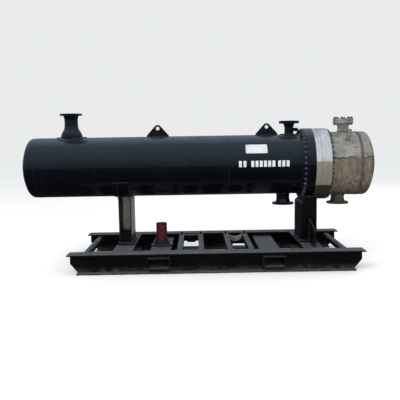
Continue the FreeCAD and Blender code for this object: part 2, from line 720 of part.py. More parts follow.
def beam_web(side):
    """Web of a skid beam with its ends cut back towards the foot."""
    low, high = BEAM_FLANGE_THICKNESS, BEAM_DEPTH - BEAM_FLANGE_THICKNESS
    middle = BEAM_DEPTH / 2
    start, end = SKID_START + WEB_END_INSET, SKID_END - WEB_END_INSET
    foot_start, foot_end = SKID_START + FOOT_END_INSET, SKID_END - FOOT_END_INSET
    outline = [(foot_start, low), (start, middle), (start, high), (end, high), (end, middle),
               (foot_end, low)]
    y0 = side * BEAM_MIDDLE - BEAM_WEB_THICKNESS / 2
    return polygon([at(station, y0, z) for station, z in outline]).extrude(
        V(0, BEAM_WEB_THICKNESS, 0))


def skid_beam(side):
    """I beam along the skid: side -1 is the near one, 1 the far one."""
    y0 = side * BEAM_MIDDLE - BEAM_FLANGE_WIDTH / 2
    y1 = y0 + BEAM_FLANGE_WIDTH
    top = box(SKID_START, SKID_END, y0, y1, BEAM_DEPTH - BEAM_FLANGE_THICKNESS, BEAM_DEPTH)
    foot = box(SKID_START + FOOT_END_INSET, SKID_END - FOOT_END_INSET, y0, y1, 0,
               BEAM_FLANGE_THICKNESS)
    beam = beam_web(side).fuse([top, foot])
    half_width = POCKET_WIDTH / 2 + POCKET_CLEARANCE
    half_height = POCKET_HEIGHT / 2 + POCKET_CLEARANCE
    for station in POCKET_STATIONS:
        beam = beam.cut(box(station - half_width, station + half_width, y0, y1,
                            POCKET_Z - half_height, POCKET_Z + half_height))
    return beam.removeSplitter()


def skid_beam_near():
    return skid_beam(-1)


def skid_beam_far():
    """Far beam, with two low windows in its web."""
    beam = skid_beam(1)
    for start, end, low, high in WEB_WINDOWS:
        window = box(SKID_MIDDLE + start, SKID_MIDDLE + end, BEAM_INNER_EDGE, SKID_WIDTH / 2,
                     low, high)
        upright = [edge for edge in window.Edges if abs(edge.tangentAt(0).y) > 0.9]
        beam = beam.cut(window.makeFillet(WINDOW_FILLET, upright))
    return beam


def cross_member(station):
    """I beam across the skid, its flanges between the beams and its web on their webs."""
    half = CROSS_MEMBER_WIDTH / 2
    floor = CROSS_MEMBER_RISE
    inner = BEAM_INNER_EDGE
    top = box(station - half, station + half, -inner, inner, BEAM_DEPTH - CROSS_MEMBER_FLANGE,
              BEAM_DEPTH)
    foot = box(station - half, station + half, -inner, inner, floor, floor + CROSS_MEMBER_FLANGE)
    web = box(station - CROSS_MEMBER_WEB / 2, station + CROSS_MEMBER_WEB / 2, -WEB_INNER_FACE,
              WEB_INNER_FACE, floor, BEAM_DEPTH - max(CROSS_MEMBER_FLANGE, BEAM_FLANGE_THICKNESS))
    return top.fuse([foot, web]).removeSplitter()


def fork_pocket(station):
    """Rectangular tube through both beams."""
    half, rise = POCKET_WIDTH / 2, POCKET_HEIGHT / 2
    end = SKID_WIDTH / 2 - POCKET_END_INSET
    outer = box(station - half, station + half, -end, end, POCKET_Z - rise, POCKET_Z + rise)
    inner = box(station - half + POCKET_WALL, station + half - POCKET_WALL, -end, end,
                POCKET_Z - rise + POCKET_WALL, POCKET_Z + rise - POCKET_WALL)
    return outer.cut(inner)


def skid_end_pipes():
    pipes = []
    for station in (SKID_START + END_PIPE_INSET, SKID_END - END_PIPE_INSET):
        start = at(station, -WEB_INNER_FACE, BEAM_DEPTH - END_PIPE_DROP)
        outer = Part.makeCylinder(END_PIPE_OD / 2, 2 * WEB_INNER_FACE, start, Y_AXIS)
        bore = END_PIPE_OD / 2 - END_PIPE_WALL
        pipes.append(outer.cut(Part.makeCylinder(bore, 2 * WEB_INNER_FACE, start, Y_AXIS)))
    return Part.makeCompound(pipes)


def cross_bars(middle, spacing):
    """Two bars across the skid, each with a peg near its far end."""
    bars = []
    for station in (middle - spacing / 2, middle + spacing / 2):
        bar = box(station - BAR_WIDTH / 2, station + BAR_WIDTH / 2, -BEAM_INNER_EDGE,
                  BEAM_INNER_EDGE, BEAM_DEPTH - BAR_DEPTH, BEAM_DEPTH)
        foot = at(station, BEAM_INNER_EDGE - PEG_INSET, BEAM_DEPTH)
        bars.append(bar.fuse(Part.makeCylinder(PEG_DIAMETER / 2, PEG_HEIGHT, foot)))
    return Part.makeCompound(bars)


def cradle_ends():
    """Start of the near and far cradle of a pair of bars, across the skid."""
    outer = BEAM_INNER_EDGE - CRADLE_INSET
    return -outer, outer - CRADLE_LENGTH


def round_cradle(middle, half, y0):
    """Trough between two bars, hollow on top and round below."""
    edge_high = BEAM_DEPTH - CRADLE_DROP
    edge_low = edge_high - CRADLE_EDGE
    left, right = middle - half, middle + half
    top = Part.Arc(at(left, y0, edge_high), at(middle, y0, edge_high - CRADLE_TOP_SAG),
                   at(right, y0, edge_high)).toShape()
    low = edge_high - CRADLE_BOTTOM_SAG
    bottom = Part.Arc(at(left, y0, edge_low), at(middle, y0, low),
                      at(right, y0, edge_low)).toShape()
    sides = [Part.makeLine(at(station, y0, edge_low), at(station, y0, edge_high))
             for station in (left, right)]
    wire = Part.Wire(Part.__sortEdges__([top, sides[1], bottom, sides[0]]))
    return Part.Face(wire).extrude(V(0, CRADLE_LENGTH, 0))


def block_cradle(middle, half, y0):
    """Flat bar between two bars with a block hanging under its middle."""
    high = BEAM_DEPTH - CRADLE_DROP
    bar = box(middle - half, middle + half, y0, y0 + CRADLE_LENGTH, high - CRADLE_TOP_SAG, high)
    block = box(middle - REAR_CRADLE_BLOCK_WIDTH / 2, middle + REAR_CRADLE_BLOCK_WIDTH / 2, y0,
                y0 + CRADLE_LENGTH, high - REAR_CRADLE_BLOCK_DROP, high - CRADLE_TOP_SAG)
    return bar.fuse(block).removeSplitter()


def pipe_cradles(pair, form):
    """Near and far cradles between the two bars of a pair."""
    middle, spacing = pair
    half = (spacing - BAR_WIDTH) / 2
    return Part.makeCompound([form(middle, half, y0) for y0 in cradle_ends()])


# Pipe stub on the rear fork pocket

def stub_post(radius, low, high):
    """Upright cylinder on the middle of the rear fork pocket between two heights."""
    return Part.makeCylinder(radius, high - low, at(POCKET_STATIONS[0], 0, low))


def stub_levels():
    """Heights of the pocket top, the top of the base and the top of the stub."""
    low = POCKET_Z + POCKET_HEIGHT / 2
    return low, low + STUB_BASE_THICKNESS, low + STUB_HEIGHT


def stub_ear(side):
    """Ear of the base with its eye: side -1 towards the rear, 1 towards the front."""
    low, joint, _ = stub_levels()
    offset = side * STUB_EAR_OFFSET
    station = POCKET_STATIONS[0]
    tip = stub_post(STUB_EAR_RADIUS, low, joint)
    tip.translate(V(offset, 0, 0))
    neck = box(min(station, station + offset), max(station, station + offset),
               -STUB_EAR_RADIUS, STUB_EAR_RADIUS, low, joint)
    return tip.fuse(neck)


def stub_base():
    """Round base plate with two ears, open to the pipe above it."""
    low, joint, _ = stub_levels()
    base = stub_post(STUB_BASE_OD / 2, low, joint).fuse([stub_ear(-1), stub_ear(1)])
    base = base.removeSplitter().cut(stub_post(STUB_PIPE_OD / 2 - STUB_PIPE_WALL, low, joint))
    for side in (-1, 1):
        eye = stub_post(STUB_EAR_HOLE, low, joint)
        eye.translate(V(side * STUB_EAR_OFFSET, 0, 0))
        base = base.cut(eye)
    return base


def stub_pipe():
    """Pipe on a cone."""
    _, joint, high = stub_levels()
    foot = at(POCKET_STATIONS[0], 0, joint)
    pipe = Part.makeCylinder(STUB_PIPE_OD / 2, high - joint, foot)
    cone = Part.makeCone(STUB_CONE_OD / 2, STUB_PIPE_OD / 2, STUB_CONE_HEIGHT, foot)
    bore = stub_post(STUB_PIPE_OD / 2 - STUB_PIPE_WALL, joint, high)
    return pipe.fuse(cone).cut(bore)


PIECES = {
    "shell_head": shell_head,
    "shell_barrel_rear": shell_barrel_rear,
    "shell_barrel_front": shell_barrel_front,
    "shell_girth_flange": shell_girth_flange,
    "tubesheet": tubesheet,
    "channel_girth_flange": channel_girth_flange,
    "channel_barrel": channel_barrel,
    "channel_head": channel_head,
    "tube_bundle": tube_bundle,
    "rear_top_nozzle": rear_top_nozzle,
    "rear_top_reducer": rear_top_reducer,
    "rear_top_pad": rear_top_pad,
    "front_top_nozzle": front_top_nozzle,
    "front_top_pad": front_top_pad,
    "front_top_coupling": front_top_coupling,
    "bottom_nozzle": bottom_nozzle,
    "channel_top_nozzle": channel_top_nozzle,
    "channel_top_cover": channel_top_cover,
    "channel_bottom_nozzle": channel_bottom_nozzle,
    "channel_vent": channel_vent,
    "lifting_lug_rear": lambda: lifting_lug(REAR_LUG_AT),
    "lifting_lug_front": lambda: lifting_lug(GIRTH_AT - FRONT_LUG_BACK),
    "tag_plate": tag_plate,
    "rear_saddle_wear_plate": rear_saddle_wear_plate,
    "rear_saddle_sides": rear_saddle_sides,
    "rear_saddle_rib": rear_saddle_rib,
    "rear_saddle_toes": rear_saddle_toes,
    "rear_saddle_base": rear_saddle_base,
    "front_support_cradle": front_support_cradle,
    "front_support_sides": front_support_sides,
    "front_support_webs": front_support_webs,
    "front_support_gussets": front_support_gussets,
    "front_support_base": front_support_base,
    "skid_beam_near": skid_beam_near,
    "skid_beam_far": skid_beam_far,
    "cross_member_rear": lambda: cross_member(REAR_SADDLE_AT),
    "cross_member_front": lambda: cross_member(FRONT_SUPPORT_AT),
    "fork_pocket_rear": lambda: fork_pocket(POCKET_STATIONS[0]),
    "fork_pocket_front": lambda: fork_pocket(POCKET_STATIONS[1]),
    "skid_end_pipes": skid_end_pipes,
    "cross_bars_rear": lambda: cross_bars(*BAR_PAIRS[0]),
    "cross_bars_front": lambda: cross_bars(*BAR_PAIRS[1]),
    "pipe_cradles_rear": lambda: pipe_cradles(BAR_PAIRS[0], block_cradle),
    "pipe_cradles_front": lambda: pipe_cradles(BAR_PAIRS[1], round_cradle),
    "stub_base": stub_base,
    "stub_pipe": stub_pipe,
}

os.makedirs("parts", exist_ok=True)
for name, make in PIECES.items():
    shape = make()
    shape.exportStep("parts/" + name + ".step")
    bounds = shape.BoundBox
    print(f"{name}: {len(shape.Solids)} solids, valid {shape.isValid()}, "
          f"{shape.Volume / 1e9:.5f} m3, z {bounds.ZMin:.1f} to {bounds.ZMax:.1f}")
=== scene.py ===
import json
import math

import bpy
from mathutils import Matrix, Vector, noise

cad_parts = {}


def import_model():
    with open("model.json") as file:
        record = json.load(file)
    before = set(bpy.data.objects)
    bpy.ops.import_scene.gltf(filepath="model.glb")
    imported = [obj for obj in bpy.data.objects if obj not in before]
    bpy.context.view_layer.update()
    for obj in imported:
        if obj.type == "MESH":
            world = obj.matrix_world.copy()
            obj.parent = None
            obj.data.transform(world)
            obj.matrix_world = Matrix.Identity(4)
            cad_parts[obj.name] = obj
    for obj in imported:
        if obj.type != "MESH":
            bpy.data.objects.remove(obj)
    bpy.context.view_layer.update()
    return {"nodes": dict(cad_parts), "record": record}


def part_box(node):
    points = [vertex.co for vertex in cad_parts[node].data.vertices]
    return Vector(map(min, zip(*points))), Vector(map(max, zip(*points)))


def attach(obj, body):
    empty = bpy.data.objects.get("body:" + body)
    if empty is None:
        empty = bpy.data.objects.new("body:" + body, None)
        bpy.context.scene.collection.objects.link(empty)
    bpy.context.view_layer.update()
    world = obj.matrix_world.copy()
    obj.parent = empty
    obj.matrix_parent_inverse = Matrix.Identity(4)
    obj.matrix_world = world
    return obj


# Looks of the shell and tube heat exchanger on its skid. Metres, in the frame of the CAD part.
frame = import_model()
nodes = frame["nodes"]
TURN = 2 * math.pi


def linear(red, green, blue):
    """Linear colour of an sRGB colour given from 0 to 255."""
    return tuple((v / 255 / 12.92 if v <= 10 else ((v / 255 + 0.055) / 1.055) ** 2.4)
                 for v in (red, green, blue)) + (1.0,)


# Places read from the frame

rear_low, rear_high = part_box("shell_barrel_rear")
front_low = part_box("shell_barrel_front")[0]
girth_low, girth_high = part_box("shell_girth_flange")
sheet_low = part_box("tubesheet")[0]
ring_low, ring_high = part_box("channel_girth_flange")
channel_low, channel_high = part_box("channel_barrel")

AXIS_Z = (rear_low.z + rear_high.z) / 2
SHELL_R = (rear_high.z - rear_low.z) / 2
GIRTH_R = (girth_high.z - girth_low.z) / 2
CHANNEL_R = (channel_high.z - channel_low.z) / 2
GIRTH_HUB_LENGTH = 0.040
GIRTH_REAR_X = girth_low.x + GIRTH_HUB_LENGTH
BEAM_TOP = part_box("skid_beam_near")[1].z
BASE_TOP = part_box("rear_saddle_base")[1].z


def middle_of(node):
    low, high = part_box(node)
    return (low + high) / 2


# Materials

class Shader:
    """A material and its nodes, ending in one principled shader."""

    def __init__(self, name, **settings):
        self.material = bpy.data.materials.new(name)
        self.material.use_nodes = True
        self.tree = self.material.node_tree
        self.shader = self.tree.nodes["Principled BSDF"]
        for socket, value in settings.items():
            self.shader.inputs[socket.replace("_", " ").title()].default_value = value
        self.place = self.add("TexCoord").outputs["Object"]
        self.facing = self.split(self.add("NewGeometry").outputs["Normal"])
        self.spot = self.split(self.place)

    def add(self, kind, inputs=(), **settings):
        made = self.tree.nodes.new("ShaderNode" + kind)
        for key, value in settings.items():
            setattr(made, key, value)
        for key, value in dict(inputs).items():
            if isinstance(value, bpy.types.NodeSocket):
                self.tree.links.new(value, made.inputs[key])
            else:
                made.inputs[key].default_value = value
        return made

    def split(self, vector):
        return self.add("SeparateXYZ", {0: vector}).outputs

    def scaled(self, x, y, z):
        """The place, stretched so that a texture runs long along the smaller factors."""
        return self.add("Mapping", {"Vector": self.place, "Scale": (x, y, z)}).outputs[0]

    def noise(self, scale, detail=4.0, roughness=0.55, place=None, distortion=0.0):
        made = self.add("TexNoise", {"Vector": place or self.place, "Scale": scale,
                                     "Detail": detail, "Roughness": roughness,
                                     "Distortion": distortion})
        return made.outputs[0]

    def cells(self, scale, feature="F1", place=None):
        made = self.add("TexVoronoi", {"Vector": place or self.place, "Scale": scale},
                        feature=feature)
        return made.outputs["Distance"]

    def math(self, operation, first, second=0.0, clamp=False):
        made = self.add("Math", {0: first, 1: second}, operation=operation, use_clamp=clamp)
        return made.outputs[0]

    def between(self, value, low, high, start=0.0, end=1.0):
        """Smooth rise from start to end as the value goes from low to high."""
        made = self.add("MapRange", {0: value, 1: low, 2: high, 3: start, 4: end},
                        interpolation_type="SMOOTHSTEP")
        return made.outputs[0]

    def mix(self, factor, first, second):
        made = self.add("Mix", {0: factor, 6: first, 7: second}, data_type="RGBA")
        return made.outputs[2]

    def edges(self, radius):
        """Worn outer edges: 1 where a rounded normal leaves the flat one."""
        rounded = self.add("Bevel", {"Radius": radius}, samples=4).outputs[0]
        flat = self.add("NewGeometry").outputs["Normal"]
        agreement = self.add("VectorMath", {0: rounded, 1: flat}, operation="DOT_PRODUCT")
        return self.between(agreement.outputs["Value"], 0.995, 0.93)

    def finish(self, colour, roughness, height, depth, soften=0.0):
        """Connect colour, roughness and bump, with edges softened by a small radius."""
        links = self.tree.links
        links.new(colour, self.shader.inputs["Base Color"])
        links.new(roughness, self.shader.inputs["Roughness"])
        inputs = {"Height": height, "Strength": 1.0, "Distance": depth}
        if soften:
            inputs["Normal"] = self.add("Bevel", {"Radius": soften}, samples=4).outputs[0]
        bump = self.add("Bump", inputs)
        links.new(bump.outputs[0], self.shader.inputs["Normal"])
        return self.material


def shell_paint():
    """Gloss blue-black paint with dust and a painted sky sheen on top, and faint runs down the sides.
    """
    s = Shader("shell_gloss", coat_weight=0.4, coat_roughness=0.06)
    broad = s.noise(1.6, 3)
    fine = s.noise(38, 6, 0.65)
    runs = s.noise(7, 5, 0.6, s.scaled(3.2, 3.2, 0.35))
    base = s.mix(s.between(broad, 0.35, 0.7), linear(2, 3, 6), linear(4, 6, 11))
    base = s.mix(s.between(runs, 0.52, 0.75, 0, 0.25), base, linear(16, 22, 29))
    # Lighter grey on what faces up: partly dust, partly a painted sheen of the sky.
    top = s.between(s.facing["Z"], 0.7, 1.0)
    dust_and_sky_sheen = s.math("MULTIPLY", top, s.between(s.noise(5, 8, 0.7), 0.25, 0.8, 0.12, 0.5))
    colour = s.mix(dust_and_sky_sheen, base, linear(84, 88, 88))
    specks = s.between(s.cells(60), 0.05, 0.02)
    colour = s.mix(s.math("MULTIPLY", specks, 0.08), colour, linear(98, 100, 98))
    rough = s.math("ADD", s.between(fine, 0.3, 0.75, 0.16, 0.27), s.math("MULTIPLY", dust_and_sky_sheen, 0.3))
    rough = s.math("ADD", rough, s.between(runs, 0.5, 0.8, 0.0, 0.14))
    height = s.math("ADD", s.math("MULTIPLY", s.noise(2.2, 2), 8.0), s.noise(150, 3))
    return s.finish(colour, rough, height, 0.0004)


def dust_and_sky_sheen_paint(name, dark, light, dust_and_sky_colour, cover, sheen, soften=0.0012, splash=0.0):
    """Satin paint with dust and a painted sky sheen on what faces up, worn edges and dirt near the
    ground.
    """
    s = Shader(name)
    s.shader.inputs["Specular IOR Level"].default_value = 0.22
    broad = s.noise(2.6, 5, 0.6)
    grime = s.noise(17, 8, 0.68)
    base = s.mix(s.between(broad, 0.35, 0.68), dark, light)
    base = s.mix(s.between(grime, 0.5, 0.8, 0, 0.3), base, linear(28, 27, 26))
    # Light colour on what faces up: partly dust, partly a painted sheen of the sky.
    top = s.between(s.facing["Z"], 0.25, 0.95)
    dust_and_sky_sheen = s.math("MULTIPLY", top, s.between(grime, 0.28, 0.7, cover * 0.55, cover))
    scuffs = s.between(s.noise(9, 6, 0.7, s.scaled(0.5, 3.0, 3.0)), 0.56, 0.66, 0, 0.4)
    colour = s.mix(dust_and_sky_sheen, base, s.mix(scuffs, dust_and_sky_colour, linear(150, 150, 146)))
    low = s.math("MULTIPLY", s.between(s.spot["Z"], 0.085, 0.0, 0, splash),
                 s.between(grime, 0.35, 0.65))
    colour = s.mix(low, colour, linear(104, 96, 86))
    worn = s.math("MULTIPLY", s.edges(0.003), s.between(s.noise(31, 7, 0.7), 0.42, 0.62))
    rust = s.mix(s.noise(55, 4), linear(78, 52, 38), linear(118, 112, 104))
    colour = s.mix(s.math("MULTIPLY", worn, 0.6), colour, rust)
    rough = s.math("ADD", s.between(grime, 0.3, 0.75, sheen, sheen + 0.22),
                   s.math("MULTIPLY", dust_and_sky_sheen, 0.25))
    height = s.math("ADD", grime, s.math("MULTIPLY", s.noise(120, 4), 0.35))
    return s.finish(colour, rough, height, 0.0005, soften)


def bright_steel():
    """Machined rings with turning marks, water stains, a painted brown reflection of the ground low
    down and a painted dark reflection at the bottom.
    """
    s = Shader("ring_bright", metallic=0.4)
    around = s.add("CombineXYZ", {0: s.spot["X"]}).outputs[0]
    lines = s.add("TexNoise", {"Vector": around, "Scale": 620.0, "Detail": 3.0}).outputs[0]
    stain = s.noise(6, 7, 0.65, s.scaled(1.0, 1.0, 0.45))
    blot = s.noise(24, 6, 0.7)
    base = s.mix(s.between(stain, 0.35, 0.7), linear(206, 206, 204), linear(164, 162, 157))
    base = s.mix(s.between(lines, 0.3, 0.75, 0, 0.25), base, linear(146, 144, 140))
    # Painted reflection of the ground: brown on the lower part, below a line just above the axis.
    painted_ground_reflection = s.math("MULTIPLY", s.between(s.spot["Z"], AXIS_Z + 0.062, AXIS_Z + 0.040, 0.0, 0.85),
                  s.between(blot, 0.2, 0.6, 0.75, 1.0))
    colour = s.mix(painted_ground_reflection, base, linear(130, 118, 101))
    rust = s.between(s.noise(13, 9, 0.75), 0.6, 0.74, 0, 0.55)
    colour = s.mix(rust, colour, linear(112, 90, 68))
    # Painted dark reflection of the skid at the bottom of the rings.
    low = s.between(s.spot["Z"], AXIS_Z - GIRTH_R * 0.52, AXIS_Z - GIRTH_R * 0.55, 0.0, 0.93)
    colour = s.mix(low, colour, linear(40, 36, 32))
    rough = s.math("ADD", s.between(stain, 0.3, 0.7, 0.3, 0.42), s.math("MULTIPLY", painted_ground_reflection, 0.12))
    height = s.math("ADD", lines, s.math("MULTIPLY", blot, 0.5))
    return s.finish(colour, rough, height, 0.00025, 0.002)


def channel_skin():
    """Weathered, flaking silver coat above a dark tide line, and a tan stain below it."""
    s = Shader("channel_flaked", metallic=0.25)
    wobble = s.noise(5, 5, 0.6)
    ragged = s.add("TexNoise", {"Vector": s.place, "Scale": 7.0, "Detail": 5.0})
    torn = s.add("VectorMath", {0: s.place, 1: ragged.outputs["Color"]}, operation="ADD").outputs[0]
    flakes = s.cells(32, "F1", torn)
    fine = s.noise(70, 9, 0.72)
    patch = s.noise(11, 9, 0.72, distortion=0.6)
    upper = s.mix(s.between(patch, 0.34, 0.62), linear(122, 116, 106), linear(188, 185, 177))
    upper = s.mix(s.between(flakes, 0.42, 0.62, 0, 0.55), upper, linear(92, 86, 78))
    upper = s.mix(s.between(fine, 0.52, 0.7, 0, 0.6), upper, linear(82, 78, 70))
    cracks = s.between(s.cells(26, "DISTANCE_TO_EDGE", torn), 0.07, 0.015)
    cracks = s.math("MULTIPLY", cracks, s.between(patch, 0.4, 0.58, 0.15, 0.9))
    upper = s.mix(cracks, upper, linear(50, 44, 39))
    streak = s.noise(8, 6, 0.6, s.scaled(2.4, 2.4, 0.5))
    lower = s.mix(s.between(streak, 0.35, 0.66), linear(136, 125, 110), linear(101, 90, 77))
    lower = s.mix(s.between(fine, 0.46, 0.66, 0, 0.7), lower, linear(76, 65, 56))
    line = s.math("ADD", s.spot["Z"], s.between(wobble, 0.2, 0.8, -0.045, 0.045))
    level = AXIS_Z + CHANNEL_R * 0.22
    colour = s.mix(s.between(line, level + 0.012, level - 0.012), upper, lower)
    ring = s.math("ABSOLUTE", s.math("SUBTRACT", line, level + 0.004))
    tide = s.math("MULTIPLY", s.between(ring, 0.013, 0.002), s.between(patch, 0.36, 0.5, 0.25, 0.9))
    colour = s.mix(tide, colour, linear(44, 38, 34))
    # Painted shade: darker towards the underside of the channel.
    depth = s.between(s.spot["Z"], AXIS_Z - CHANNEL_R * 0.45, AXIS_Z - CHANNEL_R, 0, 0.65)
    colour = s.mix(depth, colour, linear(58, 50, 43))
    blotch = s.add("VectorMath", {0: s.place, 1: (channel_high.x - 0.05, -CHANNEL_R * 0.95,
                                                  level - 0.02)}, operation="DISTANCE")
    pink = s.math("MULTIPLY", s.between(blotch.outputs["Value"], 0.11, 0.03), s.between(
        patch, 0.3, 0.55, 0.1, 0.4))
    colour = s.mix(pink, colour, linear(120, 92, 86))
    end = s.math("MULTIPLY", s.between(s.spot["X"], channel_high.x + 0.1, channel_high.x + 0.22),
                 s.between(patch, 0.3, 0.6, 0.35, 0.85))
    colour = s.mix(end, colour, linear(74, 64, 56))
    off_seam = s.math("ABSOLUTE", s.math("SUBTRACT", s.spot["X"], channel_high.x))
    seam = s.math("MULTIPLY", s.between(off_seam, 0.035, 0.004), s.between(patch, 0.35, 0.6, 0.2, 0.9))
    colour = s.mix(seam, colour, linear(62, 55, 48))
    rough = s.between(patch, 0.3, 0.7, 0.42, 0.68)
    height = s.math("ADD", s.math("MULTIPLY", flakes, 1.4), s.math("ADD", patch, fine))
    return s.finish(colour, rough, height, 0.0016, 0.0015)


def hardware_steel(name, light, dark):
    """Studs and nuts, mottled between oily dark and bright steel, with rust spots."""
    s = Shader(name, metallic=0.8)
    grime = s.noise(45, 6, 0.65)
    colour = s.mix(s.between(grime, 0.36, 0.66), light, dark)
    rust = s.between(s.noise(23, 8, 0.72), 0.6, 0.72, 0, 0.6)
    colour = s.mix(rust, colour, linear(96, 66, 46))
    rough = s.between(grime, 0.3, 0.7, 0.28, 0.5)
    return s.finish(colour, rough, s.noise(260, 4), 0.0003)


def weld_metal(name, light, dark, sheen):
    """Painted or bare weld beads."""
    s = Shader(name)
    grime = s.noise(34, 6, 0.7)
    colour = s.mix(s.between(grime, 0.36, 0.66), light, dark)
    return s.finish(colour, s.between(grime, 0.3, 0.7, sheen, sheen + 0.2), s.noise(240, 4), 0.0004)


def rib_primer():
    """Olive-grey primer, darker near its foot."""
    s = Shader("rib_olive")
    grime = s.noise(14, 8, 0.68)
    drips = s.noise(9, 5, 0.6, s.scaled(4.0, 4.0, 0.5))
    colour = s.mix(s.between(grime, 0.34, 0.66), linear(182, 181, 164), linear(146, 145, 129))
    colour = s.mix(s.between(drips, 0.5, 0.72, 0, 0.5), colour, linear(108, 106, 92))
    foot = s.between(s.math("ADD", s.spot["Z"], s.math("MULTIPLY", grime, 0.08)),
                     BASE_TOP + 0.19, BASE_TOP + 0.13)
    colour = s.mix(foot, colour, linear(24, 25, 26))
    return s.finish(colour, s.between(grime, 0.3, 0.7, 0.5, 0.7), grime, 0.0006, 0.0012)


def saddle_paint():
    """Black paint, with painted light: light grey on the saddle plate's faces towards the channel."""
    s = Shader("saddle_painted_lit_side")
    grime = s.noise(15, 8, 0.68)
    dark = s.mix(s.between(grime, 0.35, 0.66), linear(14, 16, 20), linear(28, 31, 35))
    light = s.mix(s.between(grime, 0.34, 0.66), linear(178, 180, 174), linear(136, 138, 134))
    middle = middle_of("rear_saddle_sides").x
    # Painted light: faces towards the channel, above the foot and under the shell, turn light grey as
    # if lit.
    side = s.math("MULTIPLY", s.between(s.spot["X"], middle, middle + 0.001),
                  s.between(s.facing["X"], 0.4, 0.7))
    up = s.between(s.math("ADD", s.spot["Z"], s.math("MULTIPLY", grime, 0.07)),
                   BASE_TOP + 0.1, BASE_TOP + 0.18)
    near_shell = s.between(s.spot["Z"], AXIS_Z - SHELL_R * 1.02, AXIS_Z - SHELL_R * 0.95, 1, 0)
    grey = s.math("MULTIPLY", side, s.math("MULTIPLY", up, near_shell))
    colour = s.mix(grey, dark, light)
    return s.finish(colour, s.between(grime, 0.3, 0.7, 0.36, 0.6), grime, 0.0005, 0.0012)


def stub_paint():
    """Red paint on the pipe that turns maroon and black towards its foot."""
    s = Shader("stub_red")
    foot = middle_of("stub_base").z
    grime = s.noise(21, 8, 0.7)
    rub = s.noise(12, 6, 0.66, s.scaled(3.0, 3.0, 0.6))
    red = s.mix(s.between(grime, 0.34, 0.66), linear(104, 20, 28), linear(62, 13, 20))
    red = s.mix(s.between(rub, 0.56, 0.7, 0, 0.5), red, linear(70, 44, 42))
    height = s.math("ADD", s.spot["Z"], s.math("MULTIPLY", grime, 0.05))
    red = s.mix(s.between(height, foot + 0.27, foot + 0.31, 0, 0.6), red, linear(40, 22, 24))
    colour = s.mix(s.between(height, foot + 0.17, foot + 0.1), red, linear(26, 18, 25))
    eyes = s.between(s.spot["Z"], foot + 0.03, foot + 0.01)
    colour = s.mix(s.math("MULTIPLY", eyes, s.between(s.facing["Z"], 0.3, 0.9)), colour,
                   linear(150, 148, 144))
    return s.finish(colour, s.between(grime, 0.3, 0.7, 0.32, 0.6), grime, 0.0006, 0.0015)


def white_paint(name, wear):
    """White enamel with stains, fine scratches and dull patches."""
    s = Shader(name)
    grime = s.noise(32, 8, 0.7)
    colour = s.mix(s.between(grime, 0.4, 0.75, 0, 0.5), linear(204, 207, 208),
                   linear(158, 160, 158))
    scratch = s.between(s.noise(90, 3, 0.5, s.scaled(0.2, 1.0, 1.0)), 0.64, 0.7, 0, wear)
    colour = s.mix(scratch, colour, linear(60, 64, 68))
    return s.finish(colour, s.between(grime, 0.3, 0.7, 0.3, 0.5), grime, 0.0002)


def plain_dark(name, light, dark):
    """Dark packing and hidden steel."""
    s = Shader(name)
    grime = s.noise(48, 7, 0.7)
    colour = s.mix(s.between(grime, 0.36, 0.66), light, dark)
    return s.finish(colour, s.between(grime, 0.3, 0.7, 0.55, 0.8), grime, 0.0004)


looks = {
    "shell_paint": shell_paint(),
    "bright_steel": bright_steel(),
    "channel_skin": channel_skin(),
    "support_paint": dust_and_sky_sheen_paint("support_black", linear(4, 5, 7), linear(8, 9, 12),
                                 linear(74, 78, 80), 0.65, 0.34),
    "skid_paint": dust_and_sky_sheen_paint("skid_grey", linear(5, 6, 8), linear(10, 11, 14),
                              linear(96, 97, 100), 0.92, 0.4, splash=0.5),
    "rib_primer": rib_primer(),
    "stub_paint": stub_paint(),
    "plate_white": white_paint("plate_enamel", 0.5),
    "bundle_steel": plain_dark("bundle_dull", linear(70, 68, 64), linear(44, 42, 40)),
}
for part in frame["record"]["subparts"]:
    mesh = nodes[part["node"]].data
    mesh.materials.clear()
    mesh.materials.append(looks[part["material_slot"]])
yoke_paint = dust_and_sky_sheen_paint("yoke_grey", linear(126, 128, 126), linear(98, 100, 98),
                         linear(150, 150, 146), 0.8, 0.45)
for node, own_look in (("rear_saddle_sides", saddle_paint()), ("pipe_cradles_front", yoke_paint)):
    nodes[node].data.materials.clear()
    nodes[node].data.materials.append(own_look)

nut_dark = hardware_steel("nut_oiled", linear(132, 134, 134), linear(70, 72, 72))
nut_pale = hardware_steel("nut_pale", linear(168, 160, 146), linear(104, 96, 84))
weld_black = weld_metal("weld_painted", linear(16, 21, 28), linear(26, 31, 37), 0.3)
weld_grey = weld_metal("weld_dusty", linear(40, 42, 45), linear(70, 72, 72), 0.5)
weld_tan = weld_metal("weld_stained", linear(58, 50, 43), linear(104, 94, 82), 0.5)
gasket_dark = plain_dark("gasket_edge", linear(30, 28, 26), linear(18, 17, 16))
bar_white = white_paint("marking_enamel", 0.9)


# Mesh building

class Builder:
    """Collects rings of points and the faces between them for one piece."""

    def __init__(self):
        self.points = []
        self.faces = []

    def ring(self, points):
        start = len(self.points)
        self.points += [tuple(p) for p in points]
        return list(range(start, start + len(points)))

    def bridge(self, first, second, closed=True):
        count = len(first)
        for i in range(count if closed else count - 1):
            j = (i + 1) % count
            self.faces.append((first[i], first[j], second[j], second[i]))

    def cap(self, ring, flip=False):
        self.faces.append(tuple(reversed(ring)) if flip else tuple(ring))

    def piece(self, name, material, smooth=False):
        mesh = bpy.data.meshes.new(name)
        mesh.from_pydata(self.points, [], self.faces)
        mesh.materials.append(material)
        for polygon in mesh.polygons:
            polygon.use_smooth = smooth
        mesh.validate()
        made = bpy.data.objects.new(name, mesh)
        bpy.context.scene.collection.objects.link(made)
        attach(made, "root")
        return made


def axes_along(direction):
    """Two unit vectors square to a direction."""
    direction = Vector(direction).normalized()
    side = direction.orthogonal().normalized()
    return direction, side, direction.cross(side)


